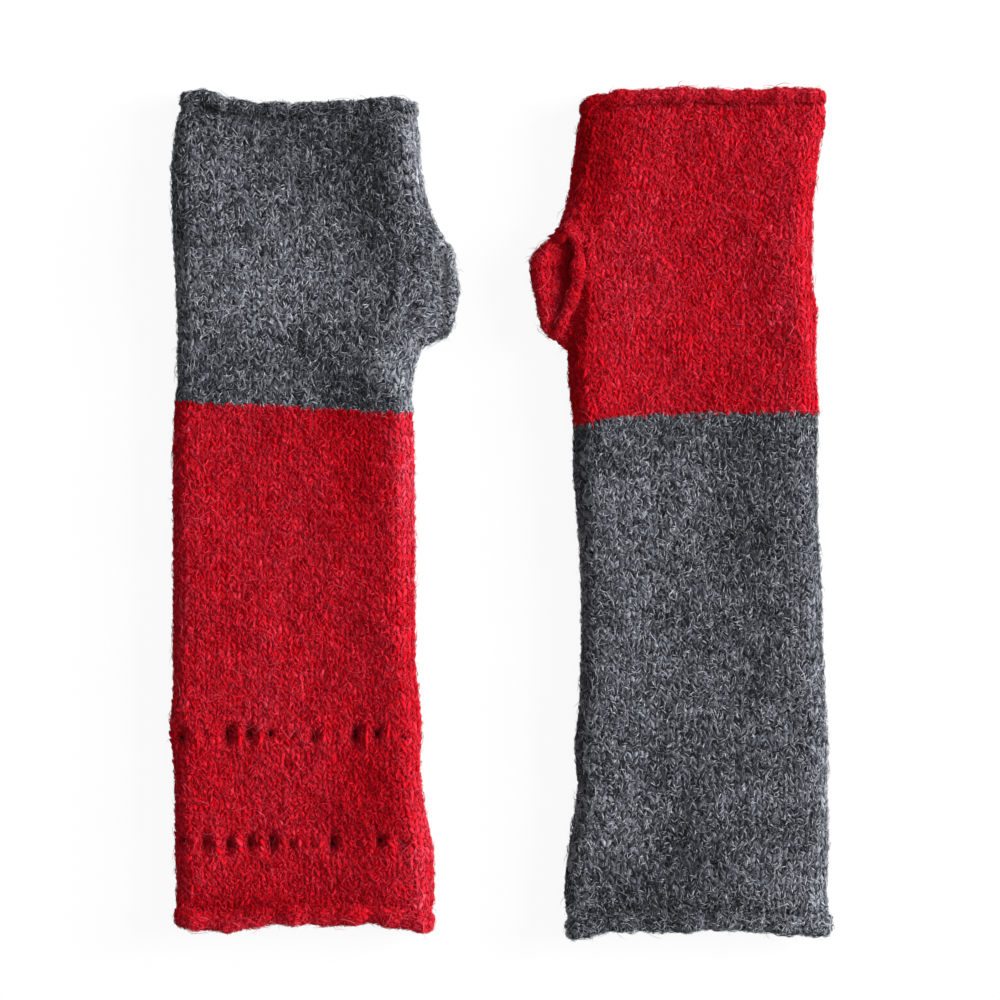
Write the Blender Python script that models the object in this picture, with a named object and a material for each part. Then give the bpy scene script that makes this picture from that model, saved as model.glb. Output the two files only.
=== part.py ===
"""A pair of knitted fingerless gloves, lying flat side by side.

Each glove is a flattened knitted tube: a hand in one colour and a long cuff in the other, which meet at the
wrist. The finger edge, the cuff edge and the thumb edge roll outwards. A short thumb sleeve opens through a slot
in one fold of the hand, and a linked seam closes that fold from the inside. X runs across the pair, Y from the
cuffs to the fingers and Z up from the table. Sizes are in metres.
"""

import math
from dataclasses import dataclass

import bmesh
import bpy
from mathutils import Vector

# Knitted fabric
WALL = 0.0026
TUBE_HEIGHT = 0.0120
FOLD_FLAT = 0.0006
JOIN_GAP = 0.0003

# Lengths along a glove
CUFF_LENGTH = 0.1853
SLEEVE_FROM_WRIST = 0.0600
FLARE_FROM_WRIST = 0.1350

# Rolled edges: how far each reaches along its tube, its thickness, and how far it stands above the tube
FINGER_ROLL_LENGTH = 0.0062
CUFF_ROLL_LENGTH = 0.0095
THUMB_ROLL_LENGTH = 0.0042
ROLL_THICKNESS = 0.0044
ROLL_RISE = 0.0020
ROLL_SPREAD = 0.0005

# Thumb
THUMB_FROM_WRIST = 0.0230
THUMB_BASE_LENGTH = 0.0540
THUMB_MOUTH_LENGTH = 0.0380
THUMB_DROOP = 0.0045
THUMB_CORNER = 0.0040
THUMB_TAPER_START = 0.35

# Inner seam and eyelets
SEAM_RADIUS = 0.0012
EYELET_OVERSHOOT = 0.0020

# Where the folds of the cuffs and thumbs turn: this far above the fabric
HINGE_LIFT = 0.0005

# Mesh steps
QUARTER_STEPS = 4
ROLL_STEPS = 8
RINGS_PER_STRETCH = 3
THUMB_RINGS = 7
EYELET_SIDES = 6
SEAM_BEVEL_RESOLUTION = 1

# Wool colours, linear
GREY = (0.083, 0.089, 0.102)
RED = (0.386, 0.008, 0.017)
WOOL_ROUGHNESS = 0.95


@dataclass(frozen=True)
class Glove:
    """One glove's own sizes. Widths are of the flat tube, and leans are the tube's middle from the wrist's."""

    side: str
    thumb_way: int
    hand_colour: tuple
    cuff_colour: tuple
    wrist_x: float
    wrist_y: float
    hand_length: float
    finger_width: float
    palm_width: float
    wrist_width: float
    sleeve_width: float
    flare_width: float
    mouth_width: float
    finger_lean: float
    palm_lean: float
    sleeve_lean: float
    flare_lean: float
    mouth_lean: float
    thumb_reach: float
    thumb_tilt: float
    thumb_gape: float
    thumb_centre_height: float
    eyelet_count: int
    eyelet_spacing: float
    eyelet_radius: float
    eyelet_rows: tuple

    def name(self, piece):
        return f"{self.side}_{piece}"

    def slot(self):
        """The thumb slot's lower and upper end, from the wrist."""
        return THUMB_FROM_WRIST, THUMB_FROM_WRIST + THUMB_BASE_LENGTH

    def places(self):
        return (
            -CUFF_LENGTH,
            -FLARE_FROM_WRIST,
            -SLEEVE_FROM_WRIST,
            0.0,
            self.slot()[1],
            self.hand_length,
        )

    def half_width(self, at):
        widths = (
            self.mouth_width,
            self.flare_width,
            self.sleeve_width,
            self.wrist_width,
            self.palm_width,
            self.finger_width,
        )
        return eased(self.places(), widths, at) / 2

    def middle(self, at):
        leans = (self.mouth_lean, self.flare_lean, self.sleeve_lean, 0.0, self.palm_lean, self.finger_lean)
        return self.wrist_x + eased(self.places(), leans, at)

    def fold(self, at):
        """The X of the fold on the thumb's side."""
        return self.middle(at) + self.thumb_way * self.half_width(at)

    def slot_x(self):
        """Where the thumb slot is cut: past the round part of the fold, all along the slot."""
        inmost = min((self.fold(at) * self.thumb_way for at in self.slot()))
        return self.thumb_way * (inmost - TUBE_HEIGHT / 2)

    def wrist_axis(self):
        return Vector((self.wrist_x, self.wrist_y, TUBE_HEIGHT + HINGE_LIFT))

    def thumb_axis(self):
        middle = self.wrist_y + sum(self.slot()) / 2
        return Vector((self.slot_x(), middle, TUBE_HEIGHT + HINGE_LIFT))

    def hand_origin(self):
        return Vector((self.wrist_x, self.wrist_y, 0.0))


LEFT = Glove(
    side="left",
    thumb_way=1,
    hand_colour=GREY,
    cuff_colour=RED,
    wrist_x=-0.0771,
    wrist_y=0.0387,
    hand_length=0.1103,
    finger_width=0.0904,
    palm_width=0.0949,
    wrist_width=0.0900,
    sleeve_width=0.0915,
    flare_width=0.0926,
    mouth_width=0.0975,
    finger_lean=0.0021,
    palm_lean=0.0009,
    sleeve_lean=0.0,
    flare_lean=0.0009,
    mouth_lean=0.0039,
    thumb_reach=0.0188,
    thumb_tilt=math.radians(0),
    thumb_gape=0.0120,
    thumb_centre_height=0.0060,
    eyelet_count=11,
    eyelet_spacing=0.0081,
    eyelet_radius=0.0016,
    eyelet_rows=(0.0330, 0.0731),
)

RIGHT = Glove(
    side="right",
    thumb_way=-1,
    hand_colour=RED,
    cuff_colour=GREY,
    wrist_x=0.0734,
    wrist_y=0.0361,
    hand_length=0.1164,
    finger_width=0.0938,
    palm_width=0.0926,
    wrist_width=0.0926,
    sleeve_width=0.0908,
    flare_width=0.0960,
    mouth_width=0.0994,
    finger_lean=0.0021,
    palm_lean=-0.0011,
    sleeve_lean=0.0021,
    flare_lean=0.0021,
    mouth_lean=0.0,
    thumb_reach=0.0104,
    thumb_tilt=math.radians(58),
    thumb_gape=0.0205,
    thumb_centre_height=0.0098,
    eyelet_count=10,
    eyelet_spacing=0.0087,
    eyelet_radius=0.0011,
    eyelet_rows=(0.0274, 0.0634),
)


def eased(places, values, at):
    """The value at a place along the glove, easing in and out at each place that is given."""
    for low, high, first, second in zip(places, places[1:], values, values[1:]):
        if at <= high:
            share = max((at - low) / (high - low), 0.0)
            return first + (second - first) * share * share * (3 - 2 * share)
    return values[-1]


def clear_scene():
    for obj in list(bpy.data.objects):
        bpy.data.objects.remove(obj, do_unlink=True)


def wool(name, colour):
    material = bpy.data.materials.new(name + "_wool")
    material.use_nodes = True
    shader = material.node_tree.nodes["Principled BSDF"]
    shader.inputs["Base Color"].default_value = (*colour, 1.0)
    shader.inputs["Roughness"].default_value = WOOL_ROUGHNESS
    shader.inputs["Metallic"].default_value = 0.0
    material.diffuse_color = (*colour, 1.0)
    return material


def add_object(name, data, colour, origin):
    """Puts a mesh or curve, already drawn about its origin, into the scene at that origin."""
    data.materials.append(wool(name, colour))
    obj = bpy.data.objects.new(name, data)
    obj.location = origin
    bpy.context.scene.collection.objects.link(obj)
    return obj


def mesh_from(name, rings_of_points, loops_close, origin):
    """A closed mesh from rings of equal length: each ring joins the next, and the last joins the first."""
    bm = bmesh.new()
    rings = [[bm.verts.new(point - origin) for point in ring] for ring in rings_of_points]
    pairs = list(zip(rings, rings[1:] + rings[:1])) if loops_close else list(zip(rings, rings[1:]))
    for ring, following in pairs:
        for i in range(len(ring)):
            j = (i + 1) % len(ring)
            bm.faces.new((ring[i], ring[j], following[j], following[i]))
    if not loops_close:
        bm.faces.new(rings[0])
        bm.faces.new(rings[-1])
    bmesh.ops.recalc_face_normals(bm, faces=bm.faces)
    mesh = bpy.data.meshes.new(name)
    bm.to_mesh(mesh)
    bm.free()
    mesh.shade_smooth()
    mesh.set_sharp_from_angle(angle=math.radians(40))
    return mesh


def flat_section(half_length, height, corner, inset):
    """Points round a flattened tube as (along, up) from its middle, with the outward way at each point."""
    points = []
    for quarter, (sign_along, sign_up) in enumerate(((1, -1), (1, 1), (-1, 1), (-1, -1))):
        centre_along = sign_along * (half_length - corner)
        centre_up = sign_up * (height / 2 - corner)
        for step in range(QUARTER_STEPS + 1):
            angle = math.radians(90) * (quarter - 1 + step / QUARTER_STEPS)
            way = (math.cos(angle), math.sin(angle))
            along = centre_along + (corner - inset) * way[0]
            up = centre_up + (corner - inset) * way[1]
            points.append((along, up, way))
    return points


def fold_corner(height):
    return (height - FOLD_FLAT) / 2


def placed(points, middle, along, up):
    return [middle + along * a + up * u for a, u, _ in points]


def tube_rings(section_at, places):
    """Outer rings out and inner rings back, which close into one hollow tube with flat ends."""
    outer = [section_at(place, 0.0) for place in places]
    inner = [section_at(place, WALL) for place in reversed(places)]
    return outer + inner


def body_section(glove, at, inset):
    """One ring of the hand or the cuff, lying flat on the table."""
    points = flat_section(glove.half_width(at), TUBE_HEIGHT, fold_corner(TUBE_HEIGHT), inset)
    middle = Vector((glove.middle(at), glove.wrist_y + at, TUBE_HEIGHT / 2))
    return placed(points, middle, Vector((1, 0, 0)), Vector((0, 0, 1)))


def ring_places(ends):
    """Places of the rings between the given ends, a few in each stretch."""
    places = []
    for low, high in zip(ends, ends[1:]):
        places += [low + (high - low) * i / RINGS_PER_STRETCH for i in range(RINGS_PER_STRETCH)]
    return places + [ends[-1]]


def hand_ends(glove):
    return (JOIN_GAP / 2, *glove.slot(), glove.hand_length)


def cuff_ends():
    return (-CUFF_LENGTH, -FLARE_FROM_WRIST, -SLEEVE_FROM_WRIST, -JOIN_GAP / 2)


def cutter(name, mesh):
    obj = bpy.data.objects.new(name, mesh)
    obj.hide_render = True
    obj.display_type = "WIRE"
    bpy.context.scene.collection.objects.link(obj)
    return obj


def cut(obj, tool):
    modifier = obj.modifiers.new(tool.name, "BOOLEAN")
    modifier.operation = "DIFFERENCE"
    modifier.solver = "EXACT"
    modifier.object = tool


def box_mesh(name, low, high):
    corners = [(low.x, low.y), (high.x, low.y), (high.x, high.y), (low.x, high.y)]
    rings = [[Vector((x, y, z)) for x, y in corners] for z in (low.z, high.z)]
    return mesh_from(name, rings, False, Vector())


def hand_tube(glove):
    """The hand, with the slot in its fold where the thumb sleeve opens."""
    name = glove.name("hand_tube")
    rings = tube_rings(lambda at, inset: body_section(glove, at, inset), ring_places(hand_ends(glove)))
    origin = glove.hand_origin()
    obj = add_object(name, mesh_from(name, rings, True, origin), glove.hand_colour, origin)
    low, high = glove.slot()
    near = glove.slot_x()
    far = near + glove.thumb_way * TUBE_HEIGHT * 2
    slot = box_mesh(
        glove.name("thumb_slot_cutter"),
        Vector((min(near, far), glove.wrist_y + low, -TUBE_HEIGHT)),
        Vector((max(near, far), glove.wrist_y + high, TUBE_HEIGHT * 2)),
    )
    cut(obj, cutter(slot.name, slot))


def eyelet_cutter(glove):
    """Upright prisms in rows across the cuff, through both layers of fabric."""
    name = glove.name("eyelet_cutter")
    bm = bmesh.new()
    for row in glove.eyelet_rows:
        at = row - CUFF_LENGTH - CUFF_ROLL_LENGTH
        for i in range(glove.eyelet_count):
            x = glove.middle(at) + (i - (glove.eyelet_count - 1) / 2) * glove.eyelet_spacing
            prism = bmesh.ops.create_cone(
                bm,
                cap_ends=True,
                segments=EYELET_SIDES,
                radius1=glove.eyelet_radius,
                radius2=glove.eyelet_radius,
                depth=TUBE_HEIGHT + 2 * EYELET_OVERSHOOT,
            )
            bmesh.ops.translate(bm, verts=prism["verts"], vec=(x, glove.wrist_y + at, TUBE_HEIGHT / 2))
    mesh = bpy.data.meshes.new(name)
    bm.to_mesh(mesh)
    bm.free()
    return cutter(name, mesh)


def cuff_tube(glove):
    """The cuff, with its two rows of eyelets."""
    name = glove.name("cuff_tube")
    rings = tube_rings(lambda at, inset: body_section(glove, at, inset), ring_places(cuff_ends()))
    origin = glove.wrist_axis()
    obj = add_object(name, mesh_from(name, rings, True, origin), glove.cuff_colour, origin)
    cut(obj, eyelet_cutter(glove))


def rolled_edge(name, section, middle, along, up, outward, length, colour, origin):
    """A rolled edge: an oval bead that runs all round the end of a tube, just clear of it."""
    bead_middle = middle + outward * (JOIN_GAP + length / 2)
    rings = []
    for a, u, way in section:
        ring = []
        for step in range(ROLL_STEPS):
            angle = 2 * math.pi * step / ROLL_STEPS
            spread = ROLL_THICKNESS / 2 * math.cos(angle)
            point = bead_middle + along * (a + way[0] * spread) + up * (u + way[1] * spread)
            ring.append(point + outward * (length / 2 * math.sin(angle)))
        rings.append(ring)
    add_object(name, mesh_from(name, rings, True, origin), colour, origin)


def body_roll(glove, piece, at, outward, length, colour, origin):
    """The rolled edge of the hand or the cuff. It lies on the table as its tube does."""
    height = TUBE_HEIGHT + ROLL_RISE
    half = glove.half_width(at) + ROLL_SPREAD
    section = flat_section(half, height, fold_corner(height), ROLL_THICKNESS / 2)
    middle = Vector((glove.middle(at), glove.wrist_y + at, height / 2))
    across = Vector((1, 0, 0))
    rolled_edge(glove.name(piece), section, middle, across, Vector((0, 0, 1)), outward, length, colour, origin)


def thumb_ring(glove, share):
    """The middle, half length, height, corner and ways of the thumb sleeve, from base 0 to mouth 1."""
    tilt = glove.thumb_tilt * share
    out = Vector((glove.thumb_way, 0, 0))
    up = Vector((0, 0, 1))
    taper = eased((0.0, THUMB_TAPER_START, 1.0), (0.0, 0.0, 1.0), share)
    base_half = THUMB_BASE_LENGTH / 2 - JOIN_GAP
    half_length = base_half + (THUMB_MOUTH_LENGTH / 2 - base_half) * taper
    height = TUBE_HEIGHT + (glove.thumb_gape - TUBE_HEIGHT) * share
    corner = THUMB_CORNER + (fold_corner(glove.thumb_gape) - THUMB_CORNER) * share
    centre_up = TUBE_HEIGHT / 2 + (glove.thumb_centre_height - TUBE_HEIGHT / 2) * share
    middle = Vector((glove.slot_x(), glove.thumb_axis().y - THUMB_DROOP * taper, centre_up))
    middle += out * (JOIN_GAP + (glove.thumb_reach - JOIN_GAP) * share)
    heading = out * math.cos(tilt) + up * math.sin(tilt)
    sideways = up * math.cos(tilt) - out * math.sin(tilt)
    return middle, half_length, height, corner, heading, sideways


def thumb_tube(glove):
    """The thumb sleeve: it starts in the hand's slot and narrows to its mouth."""
    name = glove.name("thumb_tube")

    def section_at(share, inset):
        middle, half_length, height, corner, _, sideways = thumb_ring(glove, share)
        points = flat_section(half_length, height, corner, inset)
        return placed(points, middle, Vector((0, 1, 0)), sideways)

    shares = [i / (THUMB_RINGS - 1) for i in range(THUMB_RINGS)]
    origin = glove.thumb_axis()
    mesh = mesh_from(name, tube_rings(section_at, shares), True, origin)
    add_object(name, mesh, glove.hand_colour, origin)


def thumb_roll(glove):
    middle, half_length, height, _, heading, sideways = thumb_ring(glove, 1.0)
    roll_height = height + ROLL_RISE
    section = flat_section(half_length + ROLL_SPREAD, roll_height, fold_corner(roll_height), ROLL_THICKNESS / 2)
    middle = middle + sideways * (ROLL_RISE / 2)
    rolled_edge(
        glove.name("thumb_roll"),
        section,
        middle,
        Vector((0, 1, 0)),
        sideways,
        heading,
        THUMB_ROLL_LENGTH,
        glove.hand_colour,
        glove.thumb_axis(),
    )


def seam(glove, piece, low, high, colour, origin):
    """A linked seam: a yarn ridge that lies along the inside of the thumb-side fold."""
    name = glove.name(piece)
    inward = glove.thumb_way * (WALL + JOIN_GAP + SEAM_RADIUS)
    curve = bpy.data.curves.new(name, "CURVE")
    curve.dimensions = "3D"
    curve.bevel_depth = SEAM_RADIUS
    curve.bevel_resolution = SEAM_BEVEL_RESOLUTION
    curve.use_fill_caps = True
    first, last = low + JOIN_GAP, high - JOIN_GAP
    between = [at for at in (*cuff_ends(), *hand_ends(glove)) if first < at < last]
    places = ring_places((first, *between, last))
    spline = curve.splines.new("POLY")
    spline.points.add(len(places) - 1)
    for point, at in zip(spline.points, places):
        position = Vector((glove.fold(at) - inward, glove.wrist_y + at, TUBE_HEIGHT / 2)) - origin
        point.co = (*position, 1.0)
    add_object(name, curve, colour, origin)


def build(glove):
    hand_origin = glove.hand_origin()
    cuff_origin = glove.wrist_axis()
    slot_low, slot_high = glove.slot()
    to_fingers = Vector((0, 1, 0))
    hand_tube(glove)
    cuff_tube(glove)
    body_roll(
        glove,
        "finger_roll",
        glove.hand_length,
        to_fingers,
        FINGER_ROLL_LENGTH,
        glove.hand_colour,
        hand_origin,
    )
    body_roll(
        glove,
        "cuff_roll",
        -CUFF_LENGTH,
        -to_fingers,
        CUFF_ROLL_LENGTH,
        glove.cuff_colour,
        cuff_origin,
    )
    thumb_tube(glove)
    thumb_roll(glove)
    seam(glove, "upper_hand_seam", slot_high, glove.hand_length, glove.hand_colour, hand_origin)
    seam(glove, "lower_hand_seam", 0.0, slot_low, glove.hand_colour, hand_origin)
    seam(glove, "cuff_seam", -CUFF_LENGTH, 0.0, glove.cuff_colour, cuff_origin)


def main():
    clear_scene()
    for glove in (LEFT, RIGHT):
        build(glove)


main()
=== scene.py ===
"""Looks of a pair of knitted fingerless gloves that lie flat side by side.

Each hand, cuff and thumb is a thin felted cloth that carries knitted yarn on its outside and loose wool
fuzz over that. The edges roll outwards, so the wrong side of the knitting shows on them. Sizes are in
metres, and the tables of places read from the photograph are in millimetres.
"""

import math
from dataclasses import dataclass

import bpy
import numpy as np
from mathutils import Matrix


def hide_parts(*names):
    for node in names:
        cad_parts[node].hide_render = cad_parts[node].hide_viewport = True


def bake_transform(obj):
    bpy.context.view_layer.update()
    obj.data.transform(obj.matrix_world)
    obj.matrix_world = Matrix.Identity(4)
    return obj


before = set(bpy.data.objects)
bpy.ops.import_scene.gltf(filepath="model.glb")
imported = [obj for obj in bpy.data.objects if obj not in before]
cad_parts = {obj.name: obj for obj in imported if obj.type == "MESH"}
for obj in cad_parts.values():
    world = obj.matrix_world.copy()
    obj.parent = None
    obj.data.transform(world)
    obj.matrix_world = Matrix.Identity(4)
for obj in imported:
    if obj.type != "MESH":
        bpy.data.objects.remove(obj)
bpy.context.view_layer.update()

MM = 0.001

# Felted cloth under the yarn: its middle layer lies this far inside the yarn's outside
CLOTH_INSET = 0.0016
CLOTH_THICKNESS = 0.0016
TUBE_HEIGHT = 0.0118
COLUMNS = 96
ROW_STEP = 0.0020

# Folds at the tube's right and left: how long each is, and how evenly it slopes
FOLDS = ((0.0075, 0.65), (0.0058, 0.25))
FOLD_STEPS = 40

# Relief of the upper layer: waves by their lengths across and along, and small ripples with their bends
WAVE_HEIGHT = 0.0003
WAVES = ((0.0081, 0.019), (-0.014, 0.0097))
RIPPLE_HEIGHT = 0.00016
RIPPLES = (0.0036, 0.0041)
RIPPLE_BENDS = ((1.7, 0.008), (1.3, 0.009))

# How far along the tube the wavy lines of the wrist and of an edge reach, and a fine wobble of the courses
WRIST_WAVE_REACH = 0.05
EDGE_WAVE_REACH = 0.035
WOBBLE = 0.0004
WOBBLE_LENGTHS = (0.0065, 0.021)
WOBBLE_FROM_WRIST = 0.02

# Rolled edges: the tube flattens and narrows towards its mouth, then curls outwards, less so at its folds
MOUTH_LENGTH = 0.011
MOUTH_NARROWING = 0.0013
MOUTH_LOW = 0.0055
MOUTH_HIGH = 0.0100
ROLL_SKIN = 0.0021
ROLL_TURN = math.radians(250)
ROLL_STEPS = 14
ROLL_TIGHTENING = 0.10
ROLL_LUMPS = ((0.11, 0.0019), (0.07, 0.0031))
ROLL_LOSS_AT_FOLDS = 0.6
FINGER_ROLL = (0.0019, 0.0015)
CUFF_ROLL = (0.0029, 0.0021)

# Knitting: stitches round a tube, courses, and the two legs of each stitch
WALES = 48
THUMB_WALES = 28
COURSE = 0.00275
STITCH_WIDTH = 0.0039
LEG_LIFT = 0.0006
LEG_MIDDLE = 1.5
LEG_SIZE = (0.0017, 0.0038, 0.0011)
LEG_LEAN = math.radians(28)
LEG_APART = 0.24
KNIT_PAST_ROLL = 0.001

# Purl bumps on the wrong side
PURL_FROM_ROLL = 0.0012
PURL_STEP = 0.0012
PURL_LIFT = 0.0004
PURL_SIZE = (0.0019, 0.0036, 0.0012)

# How uneven hand knitting is: places across and along, and shades
KNIT_JITTER = (0.045, 0.06)
PURL_JITTER = (0.05, 0.0002)
MIDDLE_TONE = 0.45
STITCH_TONES = 0.13
LEG_TONES = 0.07
PURL_TONES = 0.10

# Fuzz: how high it lies on each side, how thin it is underneath, and how much painted shade darkens it deep
# inside, where a sleeve's inside lies in shade
FUZZ_LIFT = 0.0014
PURL_FUZZ_LIFT = 0.0013
UNDERSIDE_FACING = -0.5
UNDERSIDE_COVER = 0.35
PAINTED_INSIDE_SHADE = 0.25
PAINTED_SHADE_FROM = 0.75
PAINTED_SHADE_OVER = 0.4

# Colour change at the wrist: how far a stitch reaches into the other colour, and over how much of its length
TOOTH = 0.0011
TOOTH_SPREAD = (0.3, 1.2)
TOOTH_LENGTH = 0.006

# Eyelets: layer, step aside and share of the radius in the upper and lower layer, and each one's shape
EYELET_LAYERS = ((1, 0.0, 1.0), (-1, 0.5, 0.45))
EYELET_JITTER = 0.0005
EYELET_STRETCH = (1.0, 1.5)
EYELET_REACH = 4
EYELET_DEPTH = 1.4
EYELET_DIP = (1.2, 1.25)
EYELET_FUZZ_GAP = 0.6

# Thumb sleeve: its stitches turn from the hand's way to its own, and none stand on edge at the slot's ends
THUMB_FROM_WRIST = 0.0230
THUMB_BASE_LENGTH = 0.0540
THUMB_FOLD = (0.0110, 0.5)
THUMB_RISE = 1.25
THUMB_OVERLAP = 0.0012
THUMB_ROWS = 12
THUMB_ROLL_FULLNESS = (0.55, 0.45)
THUMB_ROLL_FULL_FROM = 0.5
THUMB_TURN_OVER = 0.4
THUMB_EDGE_FACING = 0.35
THUMB_INSIDE_FROM = 0.001
MOUTH_CURVE_STEPS = 24

# Webs: the hand's fold runs on this far past the slot's bottom and top, over the thumb's base
WEBS = (0.0035, 0.0065)

# Inner seam: how far inside the fold its yarn lies, and how far from each end of its run it stops
SEAM_INSET = 0.0041
SEAM_STEP = 0.0022
SEAM_LEG = (0.0011, 0.0026, 0.0011)
SEAM_LEAN = 0.7
SEAM_TONE = 0.4
SEAM_GAP = 0.001
SEAM_FROM_FINGERS = 0.008
SEAM_FROM_HEM = 0.012

# Strand map: a square of cells, each with its own shade (by row) and its own streaks
CELLS = 16
CELL_MARGIN = 0.05
BELOW_ONE = 0.999

# Strands of yarn and fibre: steps of their bow, how close points close a tip, and how full a fibre is
BOW_STEPS = 12
TIP_CLOSING = 0.0005
FIBRE_FULLNESS = 0.7
FIBRE_RINGS = {"Fibre": 2, "Stray": 5}
FIBRE_LENGTHS = (0.55, 1.35)
FIBRE_HEIGHTS = (-0.7, 0.3)
FIBRE_STAND_BACK = -0.4
FIBRE_WAVES = 360.0
FIBRE_SEED_STEP = 100.0
ANYWHERE = -9.0

# Floor and studio
FLOOR_HALF = 3.0
FLOOR_PAPER = (0.93, 0.93, 0.93, 1.0)
FLOOR_BRIGHT = 0.92
WHITE = (1.0, 1.0, 1.0, 1.0)
WORLD_LIGHT = 0.29
LAMPS = (("window", (3.8, 0.8, 1.48), 2.2, 420.0), ("overhead", (0.1, 0.2, 1.9), 1.4, 5.0))
CAMERA_PLACE = (0.0001, 0.0046, 0.006 + 0.375 / 0.36)
CAMERA_LENS = 100.0
CAMERA_SENSOR = 36.0

# Seeds: what each draw adds to its glove's own
SEEDS = {
    "hand_stitches": 0,
    "hand_knit": 1,
    "hand_fuzz_wrist": 2,
    "cuff_knit_wrist": 3,
    "cuff_knit_hem": 4,
    "cuff_fuzz_wrist": 5,
    "thumb_knit": 6,
    "thumb_fuzz": 7,
    "upper_hand_seam_yarn": 8,
    "lower_hand_seam_yarn": 9,
    "cuff_seam_yarn": 10,
    "cuff_fuzz_hem": 12,
    "hand_fuzz_finger": 13,
    "cuff_stitches": 100,
    "thumb_stitches": 200,
    "teeth": 300,
}


@dataclass(frozen=True)
class Glove:
    """One glove's own sizes. Tables of places are in millimetres, along the glove from its wrist."""

    side: str
    thumb_way: int
    hand_wool: str
    cuff_wool: str
    wrist: tuple
    finger_end: float
    cuff_end: float
    outline: tuple
    finger_wave: tuple
    wrist_wave: tuple
    cuff_wave: tuple
    swells: tuple
    # Patches of painted shade and painted highlight, in millimetres
    painted_shading: tuple
    slot_x: float
    thumb_mouth: tuple
    thumb_roll: tuple
    thumb_taper: tuple
    eyelet_middle: float
    eyelet_rows: tuple
    eyelet_open: tuple
    eyelet_spacing: float
    eyelet_radius: float
    eyelet_hole: float
    seed: int

    def name(self, piece):
        return f"{self.side}_{piece}"

    def seed_of(self, draw):
        return self.seed + SEEDS[draw]

    def edges(self, at):
        """The glove's left and right edge at a place along it."""
        places, left, right = np.array(self.outline).T * MM
        return np.interp(at, places, left), np.interp(at, places, right)

    def slot(self):
        return THUMB_FROM_WRIST, THUMB_FROM_WRIST + THUMB_BASE_LENGTH

    def slot_middle(self):
        return self.wrist[1] + sum(self.slot()) / 2

    def in_slot(self, points):
        """Which points lie in the slot that the thumb sleeve opens through."""
        low, high = self.slot()
        along = points[..., 1] - self.wrist[1]
        beyond = (points[..., 0] - self.slot_x) * self.thumb_way > 0
        return beyond & (along > low + WEBS[0]) & (along < high - WEBS[1])

    def eyelets(self):
        """The eyelets: their middles, radius and layer. The lower layer's lie half a step aside."""
        rng = np.random.default_rng(self.seed)
        found = []
        for row, widths in zip(self.eyelet_rows, self.eyelet_open):
            y = self.wrist[1] + self.cuff_end + row
            for i, width in enumerate(widths):
                x = self.eyelet_middle + (i - (len(widths) - 1) / 2) * self.eyelet_spacing
                for layer, aside, share in EYELET_LAYERS:
                    jitter = rng.normal(0, EYELET_JITTER, 2)
                    radius = self.eyelet_radius * width * share
                    found.append((x + aside * self.eyelet_spacing + jitter[0], y + jitter[1], radius, layer))
        return found


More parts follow.
